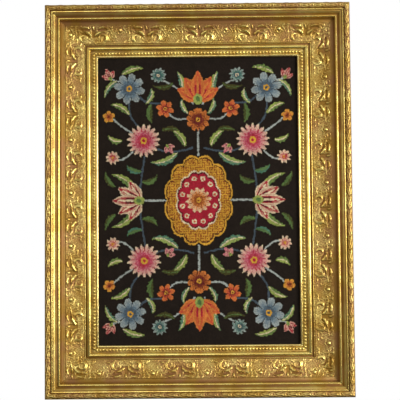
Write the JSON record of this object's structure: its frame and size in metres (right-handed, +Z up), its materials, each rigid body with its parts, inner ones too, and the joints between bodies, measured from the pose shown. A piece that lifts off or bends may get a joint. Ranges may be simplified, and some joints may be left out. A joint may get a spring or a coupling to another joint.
{
  "type": "pile rug in a gilded picture frame",
  "caption": "Flat pile rug with a floral medallion on a black ground, held in the rebate of a wide scooped picture frame with a carved frieze, hung upright by its back.",
  "frame": {"origin": "on the back of the top rail, half way along it and half way across its flat back, where the frame hangs on the wall", "axes": "+Y out of the back towards the wall, so the rug faces -Y; +Z up; +X to the right of someone who looks at the rug"},
  "size_m": [0.648, 0.055, 0.835],
  "materials": {
    "gilded_moulding": "wooden moulding with pressed composition ornament, antique gold over a brown wash",
    "wool_pile": "short dense wool pile, black ground with coloured floral motifs"
  },
  "bodies": {
    "root": {"top_rail": "gilded_moulding", "bottom_rail": "gilded_moulding", "left_rail": "gilded_moulding", "right_rail": "gilded_moulding", "rug": "wool_pile"}
  },
  "joints": []
}
